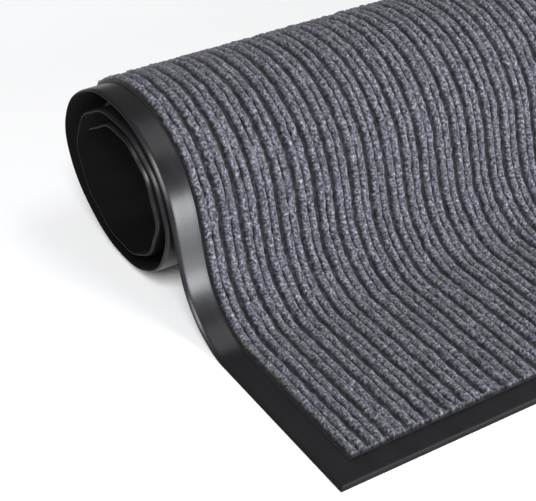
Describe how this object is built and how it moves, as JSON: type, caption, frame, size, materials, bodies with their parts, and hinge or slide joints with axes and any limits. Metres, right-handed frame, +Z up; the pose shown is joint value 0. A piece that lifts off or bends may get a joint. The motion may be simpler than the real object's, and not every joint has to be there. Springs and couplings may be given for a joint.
{
  "type": "door mat",
  "caption": "Rectangular ribbed carpet door mat on a bevelled black PVC backing with a plain border, shown half unrolled: flat at the front, rising over a roll, and able to unroll flat.",
  "frame": {"origin": "on the floor, in the middle of the mat's footprint", "axes": "+X along the mat's width, +Y from the flat front edge towards the roll, +Z up"},
  "size_m": [0.9, 0.3851, 0.1388],
  "materials": {
    "backing_pvc": "semi-gloss moulded PVC",
    "ribbed_carpet": "needled ribbed felt, heathered grey"
  },
  "bodies": {
    "front": {"backing_front": "backing_pvc", "carpet_front": "ribbed_carpet"},
    "strip_01": {"backing_strip_01": "backing_pvc", "carpet_strip_01": "ribbed_carpet"},
    "strip_02": {"backing_strip_02": "backing_pvc", "carpet_strip_02": "ribbed_carpet"},
    "strip_03": {"backing_strip_03": "backing_pvc", "carpet_strip_03": "ribbed_carpet"},
    "strip_04": {"backing_strip_04": "backing_pvc", "carpet_strip_04": "ribbed_carpet"},
    "strip_05": {"backing_strip_05": "backing_pvc", "carpet_strip_05": "ribbed_carpet"},
    "strip_06": {"backing_strip_06": "backing_pvc", "carpet_strip_06": "ribbed_carpet"},
    "strip_07": {"backing_strip_07": "backing_pvc", "carpet_strip_07": "ribbed_carpet"},
    "strip_08": {"backing_strip_08": "backing_pvc", "carpet_strip_08": "ribbed_carpet"},
    "strip_09": {"backing_strip_09": "backing_pvc", "carpet_strip_09": "ribbed_carpet"},
    "strip_10": {"backing_strip_10": "backing_pvc", "carpet_strip_10": "ribbed_carpet"},
    "strip_11": {"backing_strip_11": "backing_pvc", "carpet_strip_11": "ribbed_carpet"},
    "strip_12": {"backing_strip_12": "backing_pvc", "carpet_strip_12": "ribbed_carpet"},
    "strip_13": {"backing_strip_13": "backing_pvc", "carpet_strip_13": "ribbed_carpet"},
    "strip_14": {"backing_strip_14": "backing_pvc", "carpet_strip_14": "ribbed_carpet"},
    "strip_15": {"backing_strip_15": "backing_pvc", "carpet_strip_15": "ribbed_carpet"},
    "strip_16": {"backing_strip_16": "backing_pvc", "carpet_strip_16": "ribbed_carpet"},
    "strip_17": {"backing_strip_17": "backing_pvc", "carpet_strip_17": "ribbed_carpet"},
    "strip_18": {"backing_strip_18": "backing_pvc", "carpet_strip_18": "ribbed_carpet"},
    "strip_19": {"backing_strip_19": "backing_pvc", "carpet_strip_19": "ribbed_carpet"},
    "strip_20": {"backing_strip_20": "backing_pvc", "carpet_strip_20": "ribbed_carpet"},
    "strip_21": {"backing_strip_21": "backing_pvc", "carpet_strip_21": "ribbed_carpet"},
    "strip_22": {"backing_strip_22": "backing_pvc", "carpet_strip_22": "ribbed_carpet"},
    "strip_23": {"backing_strip_23": "backing_pvc", "carpet_strip_23": "ribbed_carpet"},
    "strip_24": {"backing_strip_24": "backing_pvc", "carpet_strip_24": "ribbed_carpet"},
    "strip_25": {"backing_strip_25": "backing_pvc", "carpet_strip_25": "ribbed_carpet"},
    "strip_26": {"backing_strip_26": "backing_pvc", "carpet_strip_26": "ribbed_carpet"},
    "end": {"backing_end": "backing_pvc", "carpet_end": "ribbed_carpet"}
  },
  "joints": [
    {"name": "unroll", "type": "hinge", "parent": "front", "child": "strip_01", "pos_m": [0, -0.04155, 0], "axis": [-1, 0, 0], "range_deg": [0, 24]},
    {"name": "bend_02", "type": "hinge", "parent": "strip_01", "child": "strip_02", "pos_m": [0, -0.01591, 0.01141], "axis": [-1, 0, 0], "range_deg": [0, 24]},
    {"name": "bend_03", "type": "hinge", "parent": "strip_02", "child": "strip_03", "pos_m": [0, 0.00287, 0.03227], "axis": [-1, 0, 0], "range_deg": [0, 24]},
    {"name": "bend_04", "type": "hinge", "parent": "strip_03", "child": "strip_04", "pos_m": [0, 0.02237, 0.0923], "axis": [1, 0, 0], "range_deg": [0, 24]},
    {"name": "bend_05", "type": "hinge", "parent": "strip_04", "child": "strip_05", "pos_m": [0, 0.04564, 0.11814], "axis": [1, 0, 0], "range_deg": [0, 24]},
    {"name": "bend_06", "type": "hinge", "parent": "strip_05", "child": "strip_06", "pos_m": [0, 0.0774, 0.13228], "axis": [1, 0, 0], "range_deg": [0, 24]},
    {"name": "bend_07", "type": "hinge", "parent": "strip_06", "child": "strip_07", "pos_m": [0, 0.12425, 0.13228], "axis": [1, 0, 0], "range_deg": [0, 30]},
    {"name": "bend_08", "type": "hinge", "parent": "strip_07", "child": "strip_08", "pos_m": [0, 0.17083, 0.10538], "axis": [1, 0, 0], "range_deg": [0, 36]},
    {"name": "bend_09", "type": "hinge", "parent": "strip_08", "child": "strip_09", "pos_m": [0, 0.18664, 0.06987], "axis": [1, 0, 0], "range_deg": [0, 48]},
    {"name": "bend_10", "type": "hinge", "parent": "strip_09", "child": "strip_10", "pos_m": [0, 0.17083, 0.03436], "axis": [1, 0, 0], "range_deg": [0, 36]},
    {"name": "bend_11", "type": "hinge", "parent": "strip_10", "child": "strip_11", "pos_m": [0, 0.12425, 0.00747], "axis": [1, 0, 0], "range_deg": [0, 30]},
    {"name": "bend_12", "type": "hinge", "parent": "strip_11", "child": "strip_12", "pos_m": [0, 0.07538, 0.00747], "axis": [1, 0, 0], "range_deg": [0, 30]},
    {"name": "bend_13", "type": "hinge", "parent": "strip_12", "child": "strip_13", "pos_m": [0, 0.04154, 0.027], "axis": [1, 0, 0], "range_deg": [0, 36]},
    {"name": "bend_14", "type": "hinge", "parent": "strip_13", "child": "strip_14", "pos_m": [0, 0.02525, 0.06359], "axis": [1, 0, 0], "range_deg": [0, 48]},
    {"name": "bend_15", "type": "hinge", "parent": "strip_14", "child": "strip_15", "pos_m": [0, 0.04154, 0.10018], "axis": [1, 0, 0], "range_deg": [0, 36]},
    {"name": "bend_16", "type": "hinge", "parent": "strip_15", "child": "strip_16", "pos_m": [0, 0.07538, 0.11972], "axis": [1, 0, 0], "range_deg": [0, 30]},
    {"name": "bend_17", "type": "hinge", "parent": "strip_16", "child": "strip_17", "pos_m": [0, 0.11681, 0.11972], "axis": [1, 0, 0], "range_deg": [0, 30]},
    {"name": "bend_18", "type": "hinge", "parent": "strip_17", "child": "strip_18", "pos_m": [0, 0.15256, 0.09908], "axis": [1, 0, 0], "range_deg": [0, 36]},
    {"name": "bend_19", "type": "hinge", "parent": "strip_18", "child": "strip_19", "pos_m": [0, 0.1661, 0.06866], "axis": [1, 0, 0], "range_deg": [0, 48]},
    {"name": "bend_20", "type": "hinge", "parent": "strip_19", "child": "strip_20", "pos_m": [0, 0.15256, 0.03824], "axis": [1, 0, 0], "range_deg": [0, 36]},
    {"name": "bend_21", "type": "hinge", "parent": "strip_20", "child": "strip_21", "pos_m": [0, 0.11681, 0.0176], "axis": [1, 0, 0], "range_deg": [0, 30]},
    {"name": "bend_22", "type": "hinge", "parent": "strip_21", "child": "strip_22", "pos_m": [0, 0.08071, 0.0176], "axis": [1, 0, 0], "range_deg": [0, 30]},
    {"name": "bend_23", "type": "hinge", "parent": "strip_22", "child": "strip_23", "pos_m": [0, 0.05485, 0.03253], "axis": [1, 0, 0], "range_deg": [0, 36]},
    {"name": "bend_24", "type": "hinge", "parent": "strip_23", "child": "strip_24", "pos_m": [0, 0.04058, 0.06458], "axis": [1, 0, 0], "range_deg": [0, 48]},
    {"name": "bend_25", "type": "hinge", "parent": "strip_24", "child": "strip_25", "pos_m": [0, 0.05485, 0.09663], "axis": [1, 0, 0], "range_deg": [0, 36]},
    {"name": "bend_26", "type": "hinge", "parent": "strip_25", "child": "strip_26", "pos_m": [0, 0.08071, 0.11156], "axis": [1, 0, 0], "range_deg": [0, 30]},
    {"name": "bend_27", "type": "hinge", "parent": "strip_26", "child": "end", "pos_m": [0, 0.10885, 0.11156], "axis": [1, 0, 0], "range_deg": [0, 30]}
  ],
  "couplings": [
    {"joint": "bend_02", "follows": "unroll", "ratio": 1},
    {"joint": "bend_03", "follows": "unroll", "ratio": 1},
    {"joint": "bend_04", "follows": "unroll", "ratio": 1},
    {"joint": "bend_05", "follows": "unroll", "ratio": 1},
    {"joint": "bend_06", "follows": "unroll", "ratio": 1},
    {"joint": "bend_07", "follows": "unroll", "ratio": 1.25},
    {"joint": "bend_08", "follows": "unroll", "ratio": 1.5},
    {"joint": "bend_09", "follows": "unroll", "ratio": 2},
    {"joint": "bend_10", "follows": "unroll", "ratio": 1.5},
    {"joint": "bend_11", "follows": "unroll", "ratio": 1.25},
    {"joint": "bend_12", "follows": "unroll", "ratio": 1.25},
    {"joint": "bend_13", "follows": "unroll", "ratio": 1.5},
    {"joint": "bend_14", "follows": "unroll", "ratio": 2},
    {"joint": "bend_15", "follows": "unroll", "ratio": 1.5},
    {"joint": "bend_16", "follows": "unroll", "ratio": 1.25},
    {"joint": "bend_17", "follows": "unroll", "ratio": 1.25},
    {"joint": "bend_18", "follows": "unroll", "ratio": 1.5},
    {"joint": "bend_19", "follows": "unroll", "ratio": 2},
    {"joint": "bend_20", "follows": "unroll", "ratio": 1.5},
    {"joint": "bend_21", "follows": "unroll", "ratio": 1.25},
    {"joint": "bend_22", "follows": "unroll", "ratio": 1.25},
    {"joint": "bend_23", "follows": "unroll", "ratio": 1.5},
    {"joint": "bend_24", "follows": "unroll", "ratio": 2},
    {"joint": "bend_25", "follows": "unroll", "ratio": 1.5},
    {"joint": "bend_26", "follows": "unroll", "ratio": 1.25},
    {"joint": "bend_27", "follows": "unroll", "ratio": 1.25}
  ]
}
